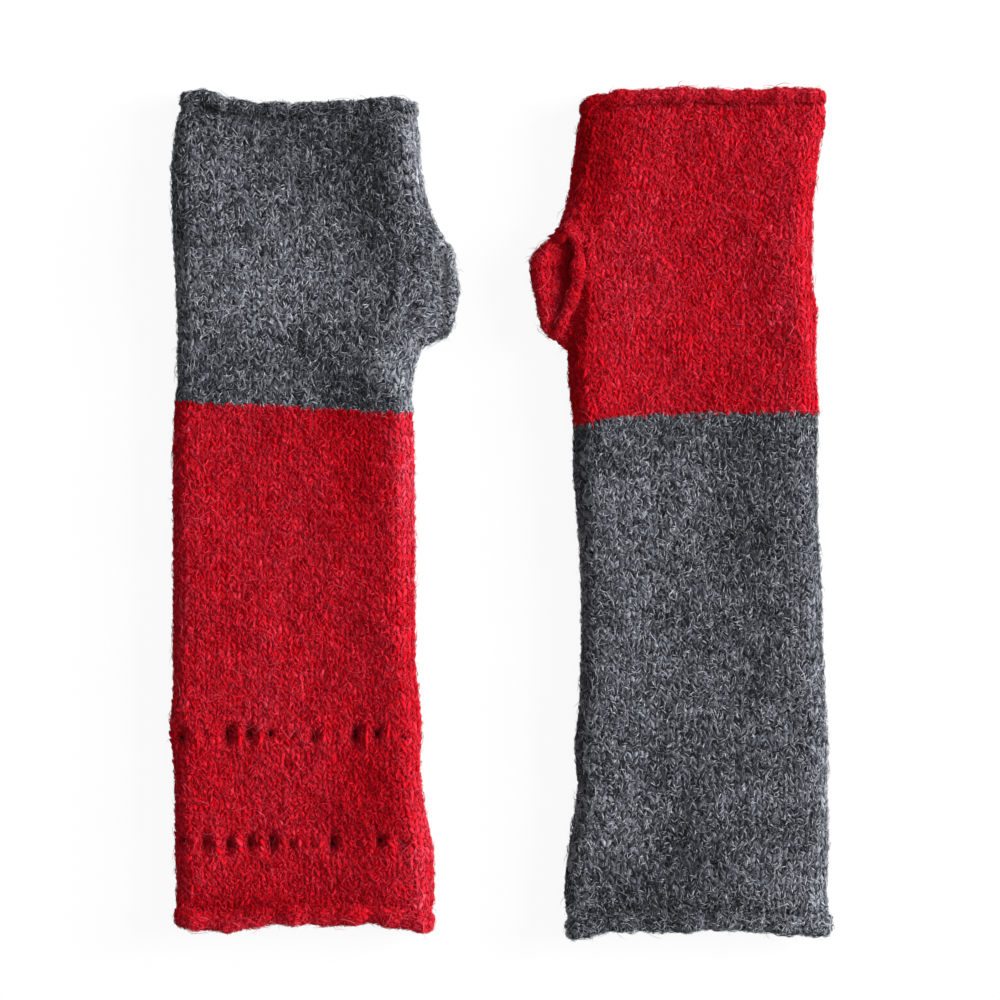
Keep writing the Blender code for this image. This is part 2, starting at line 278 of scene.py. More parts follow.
LEFT = Glove(
    side="left",
    thumb_way=1,
    hand_wool="grey_wool",
    cuff_wool="red_wool",
    wrist=(-0.0771, 0.0387),
    finger_end=0.1168,
    cuff_end=-0.1951,
    outline=(
        (-195, -121.5, -24.6), (-187.1, -122.5, -23.9), (-179.6, -121.4, -23.9), (-164.6, -122.1, -24.2),
        (-149.6, -122.1, -27.6), (-134.6, -122.5, -29.5), (-119.6, -124, -28.7), (-104.6, -122.9, -29.9),
        (-97.1, -122.9, -31), (-14.6, -122.9, -31.4), (0.4, -122.1, -32.1), (7.9, -121, -32.9),
        (15.4, -121.4, -31.4), (22.9, -121, -29), (45.4, -121.8, -28.8), (70, -123.1, -23.9),
        (76, -123.3, -25.9), (83, -123.4, -27.8), (90.4, -123.6, -28.8), (105.4, -121.8, -29.5),
        (116.8, -119.6, -29.9),
    ),
    finger_wave=(
        (-118.4, 2.5), (-111.5, 4.2), (-101.5, -0.2), (-90.3, -1.7), (-73.4, -1.3), (-56.5, -1.3),
        (-45.3, 0.2), (-39.6, 1), (-34, -0.5),
    ),
    wrist_wave=((-122.1, 2.3), (-76.8, 0.4), (-32.1, -2.2)),
    cuff_wave=((-118.4, 0.1), (-101.5, -1), (-84.6, 1.2), (-50.9, 1.8), (-34, -0.6), (-28.4, -1.4)),
    swells=(
        (-33, 107, 32, 20, 5.6), (-31, 83, 18, 20, 4), (-70, 106, 20, 16, -1.4),
        (-116, 56, 50, 24, 4), (-40, 14, 26, 15, 3.6), (-36, -160, 18, 40, 2.6),
        (-37, -50, 13, 70, 1.6), (-114, -90, 9, 100, 0.5),
    ),
    # Painted shade and painted highlights: patches (x, at, wide, long, change) that darken or lighten the
    # wool where folds, hollows and creases lie in shade and where edges catch the light
    painted_shading=(
        (-66, 106, 22, 12, -0.12), (-62, 117, 34, 3.5, 0.14),
        (-48, 86, 10, 20, -0.21), (-106, 98, 9, 8, 0.08), (-76, 98, 9, 8, -0.06),
        (-61, 84, 6, 8, -0.07), (-117, 70, 6, 22, -0.06), (-80, 42, 26, 9, 0.05),
        (-72, 26, 12, 7, -0.06), (-39.5, 56, 7, 16, -0.24), (-32, 100, 8, 22, 0.22),
        (-23, 50, 7, 18, 0.20), (-43, 15, 7, 10, 0.40), (-66, 16, 20, 14, -0.07),
        (-92, 47, 30, 26, 0.11), (-55, -14, 11, 28, -0.28), (-87, -95, 9, 32, 0.12),
        (-34, -25, 6, 34, 0.35), (-49, -142, 13, 24, -0.18),
        (-29, -162, 6, 34, 0.28), (-76, -193, 60, 5, 0.14),
        (-92, -185, 34, 3.5, -0.24), (-19, 58, 6, 12, 0.42), (-19.5, 38, 6, 12, 0.24),
        (-29.5, 18, 4, 12, 0.36), (-27, 84, 4, 12, 0.26),
    ),
    slot_x=-0.03738,
    thumb_mouth=(
        (-20.9, 98.8, 6), (-19.5, 96.2, 8.2), (-18.3, 91.4, 8.6), (-17.5, 87, 8.6), (-17.9, 80, 8.6),
        (-18.8, 73.2, 8.4), (-19.7, 68.8, 8), (-21.8, 66.8, 6), (-20.1, 68.8, 4), (-19, 73.2, 3.6),
        (-18.1, 80, 3.5), (-17.7, 87, 3.5), (-18.5, 91.4, 3.6), (-19.7, 96.2, 4),
    ),
    thumb_roll=(0.0014, 0.0009),
    thumb_taper=(0.4, 1.5),
    eyelet_middle=-0.0775,
    eyelet_rows=(0.0330, 0.0731),
    eyelet_open=(
        (0.7, 0.9, 0.95, 0.95, 1, 0.6, 0.4, 0.95, 0.4, 0.75, 0.7),
        (0.95, 0.4, 1, 0.9, 0.55, 0.4, 0.8, 0.45, 1, 0.8, 0.5),
    ),
    eyelet_spacing=0.0081,
    eyelet_radius=0.0026,
    eyelet_hole=0.4,
    seed=11,
)

RIGHT = Glove(
    side="right",
    thumb_way=-1,
    hand_wool="red_wool",
    cuff_wool="grey_wool",
    wrist=(0.0734, 0.0361),
    finger_end=0.1229,
    cuff_end=-0.1951,
    outline=(
        (-195, 24.6, 125), (-191.3, 24.5, 125), (-176.3, 23.7, 123.1), (-161.3, 25.6, 123.9),
        (-138.8, 29, 123.5), (-123.8, 27.5, 123.9), (-108.8, 29.4, 122.8), (-86.3, 30.1, 121.6),
        (-63.8, 30.1, 121.3), (-41.3, 29, 119.8), (-18.8, 27.1, 119.4), (3.7, 27.1, 120.1),
        (18.7, 25.2, 119), (41.2, 24.9, 119.6), (48.7, 24.9, 117.7), (69, 20.9, 117.8),
        (79, 24.5, 117.9), (86.2, 25.8, 119), (101.2, 27.9, 120.5), (108.7, 28.2, 122.8),
        (122.9, 29.6, 123),
    ),
    finger_wave=((30.9, -5.5), (34.2, -2.5), (39.9, -1.4), (45.5, 0.1), (120.1, 0.1)),
    wrist_wave=((27.1, -5.3), (39.5, -0.8), (75.1, 0.7), (120.1, 0.7)),
    cuff_wave=((28.6, -1.4), (39.9, 0.8), (52.6, 1.6), (93.9, 1.6), (107.4, 0.8), (118.6, -0.8)),
    swells=(
        (113, 60, 14, 60, 1.8), (37, 20, 14, 26, 1.8), (38, -60, 13, 70, 2.2),
        (112, -35, 15, 40, 2.2), (84, -170, 22, 24, 5.2), (114, -100, 12, 60, 1.2),
        (76, -110, 18, 20, -0.6),
    ),
    # Painted shade and painted highlights: patches (x, at, wide, long, change) that darken or lighten the
    # wool where folds, hollows and creases lie in shade and where edges catch the light
    painted_shading=(
        (35, 100, 9, 20, -0.55), (29, 26, 6, 26, -0.36), (24, 40, 4, 6, 0.30),
        (48, 46, 9, 26, 0.12), (106, 45, 5, 26, 0.12), (76, 122, 60, 5, 0.16),
        (58, -176, 16, 18, -0.12), (37, -13, 12, 12, -0.12),
        (94, -20, 11, 40, -0.08), (106, -60, 6, 80, 0.12),
        (66, -152, 11, 14, -0.10), (46, -148, 8, 16, 0.08), (81, -140, 6, 8, -0.08),
        (106, -52, 5, 9, -0.10), (76, -193, 60, 5, 0.14), (76, -184, 50, 3.5, -0.12),
        (37, 104, 7, 24, -0.10), (118, -184, 18, 12, 0.24),
        (124, -146, 6, 24, 0.26),
    ),
    slot_x=0.03286,
    thumb_mouth=(
        (23.6, 105.4, 8.6), (28, 103.4, 7.8), (30.4, 98, 7.2), (31, 91.9, 7.2), (29.6, 85.5, 7.4),
        (27.2, 79, 7.8), (24.2, 72.2, 8.4), (21, 66.8, 9), (18.2, 67.2, 9.8), (17.4, 74, 10.4),
        (16.5, 82, 10.8), (15.4, 89, 11), (15.3, 93.4, 11), (17.6, 98.2, 10.6), (20.6, 103.2, 9.6),
    ),
    thumb_roll=(0.0023, 0.0026),
    thumb_taper=(0.4, 1.65),
    eyelet_middle=0.0755,
    eyelet_rows=(0.0274, 0.0634),
    eyelet_open=(
        (0.4, 0.55, 0.4, 0.6, 0.4, 0.55, 0.4, 0.5, 0.55, 0.4),
        (0.4, 0.5, 0.6, 0.4, 0.55, 0.4, 0.55, 0.4, 0.5, 0.4),
    ),
    eyelet_spacing=0.0087,
    eyelet_radius=0.0019,
    eyelet_hole=0,
    seed=23,
)


def unit(vectors):
    return vectors / np.maximum(np.linalg.norm(vectors, axis=-1, keepdims=True), 1e-12)


def eased(share):
    share = np.clip(share, 0.0, 1.0)
    return share * share * (3 - 2 * share)


def even(curve, count):
    """Evenly spaced points round a closed curve that is given by many points."""
    closed = np.concatenate([curve, curve[:1]])
    walked = np.concatenate([[0.0], np.cumsum(np.linalg.norm(np.diff(closed, axis=0), axis=1))])
    places = np.arange(count) / count * walked[-1]
    return np.stack([np.interp(places, walked, line) for line in closed.T], 1)


def flat_ring(half_across, half_up, folds, count):
    """Evenly spaced points round a flattened tube, from its right end over the top: across and up.

    Each fold has a length and a share of even slope, from 0 for a round fold to 1 for a slanting one.
    """
    turn = np.linspace(0.0, math.pi / 2, FOLD_STEPS)
    inward = 1 - np.cos(turn)
    corners = []
    for length, slant in folds:
        up = half_up * ((1 - slant) * np.sin(turn) + slant * np.sin(inward * math.pi / 2))
        corners.append(np.stack([half_across - length * inward, up], 1))
    right, left = corners[0], corners[1] * (-1, 1)
    over = np.concatenate([right, left[::-1]])
    under = np.concatenate([left, right[::-1]])[1:-1] * (1, -1)
    return even(np.concatenate([over, under]), count).T


def ring_tangent(ring):
    return unit(np.roll(ring, -1, 0) - np.roll(ring, 1, 0))


class Fabric:
    """The middle layer of a knitted tube: a grid of points, in rows along the wales and columns round it."""

    def __init__(self, points, roll_from, up=1):
        self.points = points
        self.roll_from = roll_from
        self.round = unit(np.roll(points, -1, 1) - np.roll(points, 1, 1))
        self.along = unit(np.gradient(points, axis=0))
        self.out = unit(np.cross(self.along, self.round))
        from_middle = points[:3] - points[:3].mean(1, keepdims=True)
        self.turned = float((self.out[:3] * from_middle).sum()) < 0
        if self.turned:
            self.out = -self.out
        self.wale = self.along * up
        steps = np.linalg.norm(np.diff(points, axis=0), axis=2).mean(1)
        self.run = np.concatenate([[0.0], np.cumsum(steps)])
        self.roll_run = self.run[roll_from - 1]

    def read(self, field, across, along):
        """A field of the grid at places given by their share round the tube and their run along it."""
        rows, columns = field.shape[:2]
        row = np.clip(np.searchsorted(self.run, along, side="right") - 1, 0, rows - 2)
        low = ((along - self.run[row]) / (self.run[row + 1] - self.run[row]))[:, None]
        column = np.mod(across, 1.0) * columns
        first = np.floor(column).astype(int) % columns
        side = (column - np.floor(column))[:, None]
        second = (first + 1) % columns
        near = field[row, first] * (1 - side) + field[row, second] * side
        far = field[row + 1, first] * (1 - side) + field[row + 1, second] * side
        return near * (1 - low) + far * low

    def quads(self):
        """The corners of every face of the grid, turned so that they face outwards."""
        rows, columns = self.points.shape[:2]
        row, column = np.meshgrid(np.arange(rows - 1), np.arange(columns), indexing="ij")
        beside = (column + 1) % columns
        near, far = row * columns, (row + 1) * columns
        corners = np.stack([near + column, near + beside, far + beside, far + column], -1).reshape(-1, 4)
        return corners if self.turned else corners[:, ::-1]

    def quad_rows(self):
        rows, columns = self.points.shape[:2]
        return np.repeat(np.arange(rows - 1), columns)


def opened(points, eyelets):
    """Pushes points outwards round each eyelet, as yarn parts round a hole."""
    moved = points.copy()
    for x, y, radius, layer in eyelets:
        away = moved[:, :2] - (x, y)
        within = (np.abs(away) < EYELET_REACH * radius).all(1)
        near = np.flatnonzero(within & (layer * (moved[:, 2] - TUBE_HEIGHT / 2) > 0))
        distance = np.linalg.norm(away[near] / EYELET_STRETCH, axis=1, keepdims=True)
        distance = np.maximum(distance, 1e-6)
        further = np.cbrt(distance**3 + radius**3)
        moved[near, :2] += away[near] * (further / distance - 1)
    return moved


def near_eyelet(points, x, y, layer):
    """Which points lie in an eyelet's layer, and how far each is from its middle, by the eyelet's shape."""
    here = layer * (points[..., 2] - TUBE_HEIGHT / 2) > 0
    return here, np.linalg.norm((points[..., :2] - (x, y)) / EYELET_STRETCH, axis=-1)


def dipped(points, eyelets):
    """Sinks the cloth into each eyelet, towards the tube's middle."""
    moved = points.copy()
    for x, y, radius, layer in eyelets:
        here, away = near_eyelet(points, x, y, layer)
        dip = eased(EYELET_DIP[0] - away / (EYELET_DIP[1] * radius))
        moved[..., 2] -= here * layer * EYELET_DEPTH * radius * dip
    return moved


def relief(glove, x, at):
    """How far the upper layer rises or sinks: broad swells and hollows, waves and small ripples."""
    phase = glove.seed
    waves = sum(np.sin(x / wide + at / long + turn * phase) for turn, (wide, long) in enumerate(WAVES, 1))
    (bend, bend_length), (lean, lean_length) = RIPPLE_BENDS
    ripples = np.sin(x / RIPPLES[0] + bend * np.sin(at / bend_length + phase))
    ripples = ripples + np.sin(at / RIPPLES[1] + lean * np.sin(x / lean_length))
    height = WAVE_HEIGHT * waves + RIPPLE_HEIGHT * ripples
    for middle, place, wide, long, rise in np.array(glove.swells) * MM:
        height = height + rise * np.exp(-(((x - middle) / wide) ** 2) - ((at - place) / long) ** 2)
    return height


def painted_shading_at(glove, points):
    """How much the wool is darkened or lightened at each place: patches of painted shade and painted
    highlight that stand in for the shading of folds, hollows, creases and lit edges.
    """
    shade = np.zeros(len(points))
    for x, at, wide, long, change in glove.painted_shading:
        across = (points[:, 0] / MM - x) / wide
        along = ((points[:, 1] - glove.wrist[1]) / MM - at) / long
        shade += change * np.exp(-(across**2) - along**2)
    return shade


def body_ring(glove, at, end):
    """One ring of the hand or the cuff, lying on the table, with its mouth pressed flat."""
    mouth = eased(1 - abs(end - at) / MOUTH_LENGTH)
    inset = CLOTH_INSET + MOUTH_NARROWING * mouth
    left, right = glove.edges(at)
    low = CLOTH_INSET + (MOUTH_LOW - CLOTH_INSET) * mouth
    high = TUBE_HEIGHT - CLOTH_INSET
    high += (MOUTH_HIGH - high) * mouth
    half_up = (high - low) / 2
    folds = [(length + (half_up - length) * mouth, slant * (1 - mouth)) for length, slant in FOLDS]
    across, up = flat_ring((right - left) / 2 - inset, half_up, folds, COLUMNS)
    x = (left + right) / 2 + across
    top = eased(up / half_up) * (1 - mouth)
    return np.stack([x, np.full(COLUMNS, at), (low + high) / 2 + up + relief(glove, x, at) * top], 1)


def curled(ring, outward, heading, size, seed, fullness=1.0):
    """Rings that curl a tube's end outwards. The size is half the curl's length and half its height."""
    walked = np.cumsum(np.linalg.norm(np.roll(ring, -1, 0) - ring, axis=1))
    lumps = enumerate(ROLL_LUMPS, 1)
    lumpy = 1 + sum(share * np.sin(walked / long + turn * seed) for turn, (share, long) in lumps)
    lumpy = (lumpy * fullness)[:, None]
    rings = []
    for turn in np.linspace(0, ROLL_TURN, ROLL_STEPS + 1)[1:]:
        tighter = (1 - ROLL_TIGHTENING * turn / ROLL_TURN) * lumpy
        along = size[0] * tighter * math.sin(turn)
        out = size[1] * tighter * (1 - math.cos(turn))
        rings.append(ring + heading * along + outward * out)
    return rings


def body_fabric(glove, end):
    """The hand's or the cuff's middle layer, from the wrist to its rolled edge."""
    way = 1 if end > 0 else -1
    size = FINGER_ROLL if way > 0 else CUFF_ROLL
    last = end - way * (size[0] + ROLL_SKIN)
    places = np.linspace(0.0, last, round(abs(last) / ROW_STEP) + 1)
    rings = [body_ring(glove, at, last) for at in places]
    final = rings[-1]
    tangent = ring_tangent(final)
    outward = np.stack([tangent[:, 2], np.zeros(COLUMNS), -tangent[:, 0]], 1)
    outward *= 1 - ROLL_LOSS_AT_FOLDS * np.abs(outward[:, :1])
    rings += curled(final, outward, np.array([0.0, way, 0.0]), size, glove.seed)
    points = np.array(rings)
    x, at = points[..., 0], points[..., 1].copy()
    for table, ramp in (
        (glove.wrist_wave, eased(1 - np.abs(at) / WRIST_WAVE_REACH)),
        (glove.finger_wave if way > 0 else glove.cuff_wave, eased(1 - np.abs(end - at) / EDGE_WAVE_REACH)),
    ):
        place, shift = np.array(table).T * MM
        points[..., 1] += np.interp(x, place, shift) * ramp
    wobble = WOBBLE * np.sin(x / WOBBLE_LENGTHS[0] + at / WOBBLE_LENGTHS[1] + glove.seed)
    points[..., 1] += wobble * eased(np.abs(at) / WOBBLE_FROM_WRIST)
    teeth = TOOTH * np.random.default_rng(glove.seed_of("teeth")).uniform(*TOOTH_SPREAD, COLUMNS)
    teeth[::2] *= -1
    points[..., 1] += teeth * eased(1 - np.abs(at) / TOOTH_LENGTH)
    points[..., 1] += glove.wrist[1]
    if way < 0:
        points = dipped(points, glove.eyelets())
    return Fabric(points, len(places), way)


def smooth_curve(table, count):
    """Evenly spaced points on a smooth closed curve through a table of places."""
    knots = np.array(table) * MM
    here, before, after, beyond = (np.roll(knots, shift, 0)[:, None] for shift in (0, 1, -1, -2))
    share = np.linspace(0.0, 1.0, MOUTH_CURVE_STEPS, endpoint=False)[None, :, None]
    cubic = 3 * (here - after) + beyond - before
    square = 2 * before - 5 * here + 4 * after - beyond
    curve = here + share / 2 * (after - before + share * (square + share * cubic))
    return even(curve.reshape(-1, 3), count)


def thumb_fabric(glove):
    """The thumb sleeve's middle layer, from the slot to its rolled mouth."""
    half_length = THUMB_BASE_LENGTH / 2 + THUMB_OVERLAP - CLOTH_INSET
    half_up = TUBE_HEIGHT / 2 - CLOTH_INSET
    across, up = flat_ring(half_length, half_up, (THUMB_FOLD, THUMB_FOLD), COLUMNS)
    inside = np.full(COLUMNS, glove.slot_x - glove.thumb_way * THUMB_OVERLAP)
    place = glove.slot_middle() + across
    rise = relief(glove, glove.slot_x, place - glove.wrist[1]) * eased(up / half_up)
    base = np.stack([inside, place, TUBE_HEIGHT / 2 + up + rise], 1)
    mouth = smooth_curve(glove.thumb_mouth, COLUMNS)
    start, power = glove.thumb_taper
    rings = []
    for share in np.linspace(0.0, 1.0, THUMB_ROWS):
        taper = max((share - start) / (1 - start), 0.0) ** power
        rings.append(base + (mouth - base) * (share, taper, 1 - (1 - share) ** THUMB_RISE))
    heading = unit(rings[-1] - rings[-2])
    outward = unit(np.cross(ring_tangent(mouth), heading)) * glove.thumb_way
    height = (mouth[:, 1] - mouth[:, 1].min()) / np.ptp(mouth[:, 1])
    least, more = THUMB_ROLL_FULLNESS
    fullness = least + more * eased(height / THUMB_ROLL_FULL_FROM)
    rings += curled(mouth, outward, heading, glove.thumb_roll, glove.seed, fullness)
    points = np.array(rings)
    points[..., 2] = np.maximum(points[..., 2], CLOTH_INSET)
    fabric = Fabric(points, THUMB_ROWS)
    own = eased(fabric.run / fabric.roll_run / THUMB_TURN_OVER)[:, None, None]
    across_thumb = np.array([0.0, 1.0, 0.0])
    flat = across_thumb - fabric.out * (fabric.out @ across_thumb)[..., None]
    fabric.wale = unit(fabric.along * own + flat * (1 - own))
    return fabric


def new_piece(name, data):
    piece = bpy.data.objects.new(name, data)
    bpy.context.scene.collection.objects.link(piece)
    return piece


def mesh_of(name, points, faces):
    mesh = bpy.data.meshes.new(name)
    mesh.from_pydata(points.tolist(), [], [list(map(int, face)) for face in faces])
    mesh.validate()
    mesh.shade_smooth()
    return mesh


def mark(mesh, label, values):
    """Stores a number or a vector for each point of a mesh."""
    kind, member = ("FLOAT_VECTOR", "vector") if values.ndim > 1 else ("FLOAT", "value")
    mesh.attributes.new(label, kind, "POINT").data.foreach_set(member, values.ravel())


def cloth(name, fabric, keep, material):
    """A thin closed cloth round the fabric's middle layer, with holes where faces aren't kept."""
    middle, out = fabric.points.reshape(-1, 3), fabric.out.reshape(-1, 3)
    quads = fabric.quads()[keep]
    count = len(middle)
    half = CLOTH_THICKNESS / 2
    points = np.concatenate([middle + out * half, middle - out * half])
    edges = np.concatenate([quads[:, [i, (i + 1) % 4]] for i in range(4)])
    pairs = set(map(tuple, edges.tolist()))
    rims = [(b, a, a + count, b + count) for a, b in pairs if (b, a) not in pairs]
    faces = np.concatenate([quads, quads[:, ::-1] + count, np.array(sorted(rims)).reshape(-1, 4)])
    used, numbers = np.unique(faces, return_inverse=True)
    mesh = mesh_of(name, points[used], numbers.reshape(faces.shape))
    mesh.materials.append(material)
    return new_piece(name, mesh)


def yarn_places(name, places, runs, outs, sizes, tones):
    """A mesh of bare points, one for each leg of yarn, which the yarn tree dresses."""
    mesh = bpy.data.meshes.new(name)
    mesh.vertices.add(len(places))
    mesh.vertices.foreach_set("co", places.ravel())
    for label, values in (("run", runs), ("outward", outs), ("size", sizes), ("tone", tones)):
        mark(mesh, label, values)
    return mesh


def fitted(size, axis, fabric, wales, across, along, side):
    """Sizes of legs, each fitted to its stitch on the outer (1) or inner (-1) side, and the stitch widths."""
    surface = fabric.points + fabric.out * side * LEG_MIDDLE * LEG_LIFT
    half = 0.5 / wales
    beside = fabric.read(surface, across + half, along) - fabric.read(surface, across - half, along)
    width = np.linalg.norm(beside, axis=1)
    sizes = np.tile(size, (len(width), 1))
    sizes[:, axis] *= width / STITCH_WIDTH
    return sizes, width[:, None]


def joined(*groups):
    return [np.concatenate(parts) for parts in zip(*groups)]


def chosen(legs, keep):
    return [part[keep] for part in legs]


def knit_legs(fabric, wales, first, last, rng, eyelets=()):
    """Both legs of every knit stitch between two runs along the fabric."""
    course = (last - first) / max(round((last - first) / COURSE), 1)
    runs = np.arange(first + course / 2, last, course)
    across, along = (part.ravel() for part in np.meshgrid((np.arange(wales) + 0.5) / wales, runs))
    across = across + rng.normal(0, KNIT_JITTER[0], len(across)) / wales
    along = along + rng.normal(0, KNIT_JITTER[1], len(along)) * course
    middle = fabric.read(fabric.points, across, along)
    out = unit(fabric.read(fabric.out, across, along))
    wale = unit(fabric.read(fabric.wale, across, along))
    side = unit(np.cross(wale, out))
    size, width = fitted(LEG_SIZE, 0, fabric, wales, across, along, 1)
    stitch = rng.normal(0, STITCH_TONES, len(middle))
    legs = []
    for way in (-1, 1):
        place = opened(middle + side * way * LEG_APART * width + out * LEG_LIFT, eyelets)
        run = wale * math.cos(LEG_LEAN) + side * way * math.sin(LEG_LEAN)
        tone = MIDDLE_TONE + stitch + rng.normal(0, LEG_TONES, len(place))
        legs.append((place, run, out, size, tone))
    return joined(*legs)


def purl_legs(fabric, wales, first, last, rng):
    """Rows of purl bumps on the inner side, each half a stitch aside, which a rolled edge turns outwards."""
    rows = max(round((last - first) / PURL_STEP), 2)
    share = (np.arange(wales)[None, :] + 0.25 + 0.5 * (np.arange(rows) % 2)[:, None]) / wales
    across, along = share.ravel(), np.repeat(np.linspace(first, last, rows), wales)
    across = across + rng.normal(0, PURL_JITTER[0], len(across)) / wales
    along = along + rng.normal(0, PURL_JITTER[1], len(along))
    along = np.clip(along, 0.0, fabric.run[-1])
    out = -unit(fabric.read(fabric.out, across, along))
    side = unit(fabric.read(fabric.round, across, along))
    place = fabric.read(fabric.points, across, along) + out * PURL_LIFT
    size, _ = fitted(PURL_SIZE, 1, fabric, wales, across, along, -1)
    tone = MIDDLE_TONE + rng.normal(0, PURL_TONES, len(place))
    return [place, side, out, size, tone]


def fill(tree, socket, value):
    """Links another socket to a socket, or sets it to a value."""
    if isinstance(value, bpy.types.NodeSocket):
        tree.links.new(value, socket)
    else:
        socket.default_value = value


def add(tree, kind, values=None, **settings):
    """Adds a node to a tree, with its settings, and fills its sockets with values or other sockets."""
    made = tree.nodes.new(kind)
    for setting, value in settings.items():
        setattr(made, setting, value)
    for key, value in (values or {}).items():
        fill(tree, made.inputs[key], value)
    return made


def maths(tree, operation, *values):
    return add(tree, "ShaderNodeMath", dict(enumerate(values)), operation=operation).outputs[0]


def vector_maths(tree, operation, *values):
    return add(tree, "ShaderNodeVectorMath", dict(enumerate(values)), operation=operation).outputs[0]


def scaled(tree, vector, factor):
    return add(tree, "ShaderNodeVectorMath", {0: vector, "Scale": factor}, operation="SCALE").outputs[0]


def combined(tree, *values):
    return add(tree, "ShaderNodeCombineXYZ", dict(enumerate(values))).outputs[0]


def noise(tree, vector, scale, detail, roughness=0.5, **settings):
    values = {"Vector": vector, "Scale": scale, "Detail": detail, "Roughness": roughness}
    return add(tree, "ShaderNodeTexNoise", values, **settings).outputs


def position(tree):
    return add(tree, "GeometryNodeInputPosition").outputs[0]


def marked(tree, label, kind="FLOAT_VECTOR"):
    """Reads what is stored on the points under a label."""
    return add(tree, "GeometryNodeInputNamedAttribute", {"Name": label}, data_type=kind).outputs["Attribute"]


def stored(tree, geometry, label, value, kind="FLOAT2", domain="POINT"):
    values = {"Geometry": geometry, "Name": label, "Value": value}
    return add(tree, "GeometryNodeStoreNamedAttribute", values, data_type=kind, domain=domain).outputs[0]


def chance(tree, low, high, seed, shift):
    """A random number for each point, from the tree's seed. The shift keeps it apart from the other draws."""
    number = maths(tree, "ADD", seed, float(shift))
    made = add(tree, "FunctionNodeRandomValue", {"Seed": number}, data_type="FLOAT")
    sockets = {socket.identifier: socket for socket in made.inputs}
    fill(tree, sockets["Min_001"], low)
    fill(tree, sockets["Max_001"], high)
    return next(socket for socket in made.outputs if socket.type == "VALUE" and socket.enabled)


def swing(tree, angle, seed, shift, back=-1.0):
    """A random angle up to the given one, and back as far as a share of it."""
    return chance(tree, maths(tree, "MULTIPLY", angle, back), angle, seed, shift)


def new_group(name, kind, inputs, outputs):
    """An empty node group with named inputs and outputs, and the sockets that its inputs come in by."""
    group = bpy.data.node_groups.new(name, kind)
    for label, form, value in inputs:
        socket = group.interface.new_socket(label, in_out="INPUT", socket_type="NodeSocket" + form)
        if value is not None:
            socket.default_value = value
    for label, form in outputs:
        group.interface.new_socket(label, in_out="OUTPUT", socket_type="NodeSocket" + form)
    return group, group.nodes.new("NodeGroupInput").outputs


def new_tree(name, inputs):
    """An empty Geometry Nodes tree that takes a geometry, named numbers, a seed and a wool."""
    numbers = [(label, "Float", value) for label, value in inputs.items()]
    inputs = [("Geometry", "Geometry", None), *numbers, ("Seed", "Int", 1), ("Wool", "Material", None)]
    return new_group(name, "GeometryNodeTree", inputs, [("Geometry", "Geometry")])


def strand_mesh(tree, sides, rings, across, bend, lift, fullness):
    """A strand one unit long, pointed at both ends, with its own place along and round it."""
    ends = {"Start": (0.0, -0.5, 0.0), "End": (0.0, 0.5, 0.0), "Middle": combined(tree, bend, 0.0, lift)}
    bow = add(tree, "GeometryNodeCurveQuadraticBezier", {"Resolution": BOW_STEPS, **ends})
    rail = add(tree, "GeometryNodeResampleCurve", {"Curve": bow.outputs[0], "Count": rings + 1})
    radius = maths(tree, "MULTIPLY", across, 0.5)
    profile = add(tree, "GeometryNodeCurvePrimitiveCircle", {"Resolution": sides, "Radius": radius})
    curves, places = [], []
    for curve in (rail, profile):
        factor = add(tree, "GeometryNodeSplineParameter").outputs["Factor"]
        captured = add(tree, "GeometryNodeCaptureAttribute", {"Geometry": curve.outputs["Curve"]})
        captured.capture_items.new("FLOAT", "Place")
        tree.links.new(factor, captured.inputs[1])
        curves.append(captured.outputs[0])
        places.append(captured.outputs[1])
    wave = maths(tree, "SINE", maths(tree, "MULTIPLY", places[0], math.pi))
    thickness = maths(tree, "POWER", maths(tree, "MAXIMUM", wave, 0.0), fullness)
    values = {"Curve": curves[0], "Profile Curve": curves[1], "Scale": thickness}
    tube = add(tree, "GeometryNodeCurveToMesh", values).outputs[0]
    closed = add(tree, "GeometryNodeMergeByDistance", {"Geometry": tube, "Distance": TIP_CLOSING}).outputs[0]
    strand = stored(tree, closed, "strand", combined(tree, *places, 0.0))
    return add(tree, "GeometryNodeSetShadeSmooth", {"Geometry": strand}).outputs[0]


def celled(tree, points, seed, tone):
    """Gives each point a cell of the strand map: a random column, and the row of its shade."""
    shade = maths(tree, "MINIMUM", maths(tree, "MAXIMUM", tone, 0.0), BELOW_ONE)
    shares = chance(tree, 0.0, BELOW_ONE, seed, 1), shade
    column, row = (maths(tree, "FLOOR", maths(tree, "MULTIPLY", share, float(CELLS))) for share in shares)
    return stored(tree, points, "cell", combined(tree, column, row, 0.0))


def patched(tree, tone, given):
    """Shades the wool in patches, as unevenly dyed and felted wool is."""
    scale = maths(tree, "DIVIDE", 1.0, given["Patch size"])
    patch = noise(tree, position(tree), scale, detail=3.0, roughness=0.7)[0]
    return maths(tree, "MULTIPLY_ADD", maths(tree, "SUBTRACT", patch, 0.5), given["Patch shade"], tone)


def turned(tree, axes, first, second, wobble):
    """A turn that lays two axes of a strand along two directions, and then wobbles it."""
    values = {"Primary Axis": first, "Secondary Axis": second}
    aligned = add(tree, "FunctionNodeAxesToRotation", values, primary_axis=axes[0], secondary_axis=axes[1])
    wobbled = add(tree, "FunctionNodeEulerToRotation", {0: wobble}).outputs[0]
    values = {"Rotation": aligned.outputs[0], "Rotate By": wobbled}
    return add(tree, "FunctionNodeRotateRotation", values, rotation_space="LOCAL").outputs[0]


def laid(tree, points, strand, turn, size):
    values = {"Points": points, "Instance": strand, "Rotation": turn, "Scale": size}
    return add(tree, "GeometryNodeInstanceOnPoints", values).outputs[0]


def realized(tree, instances):
    return add(tree, "GeometryNodeRealizeInstances", {"Geometry": instances}).outputs[0]


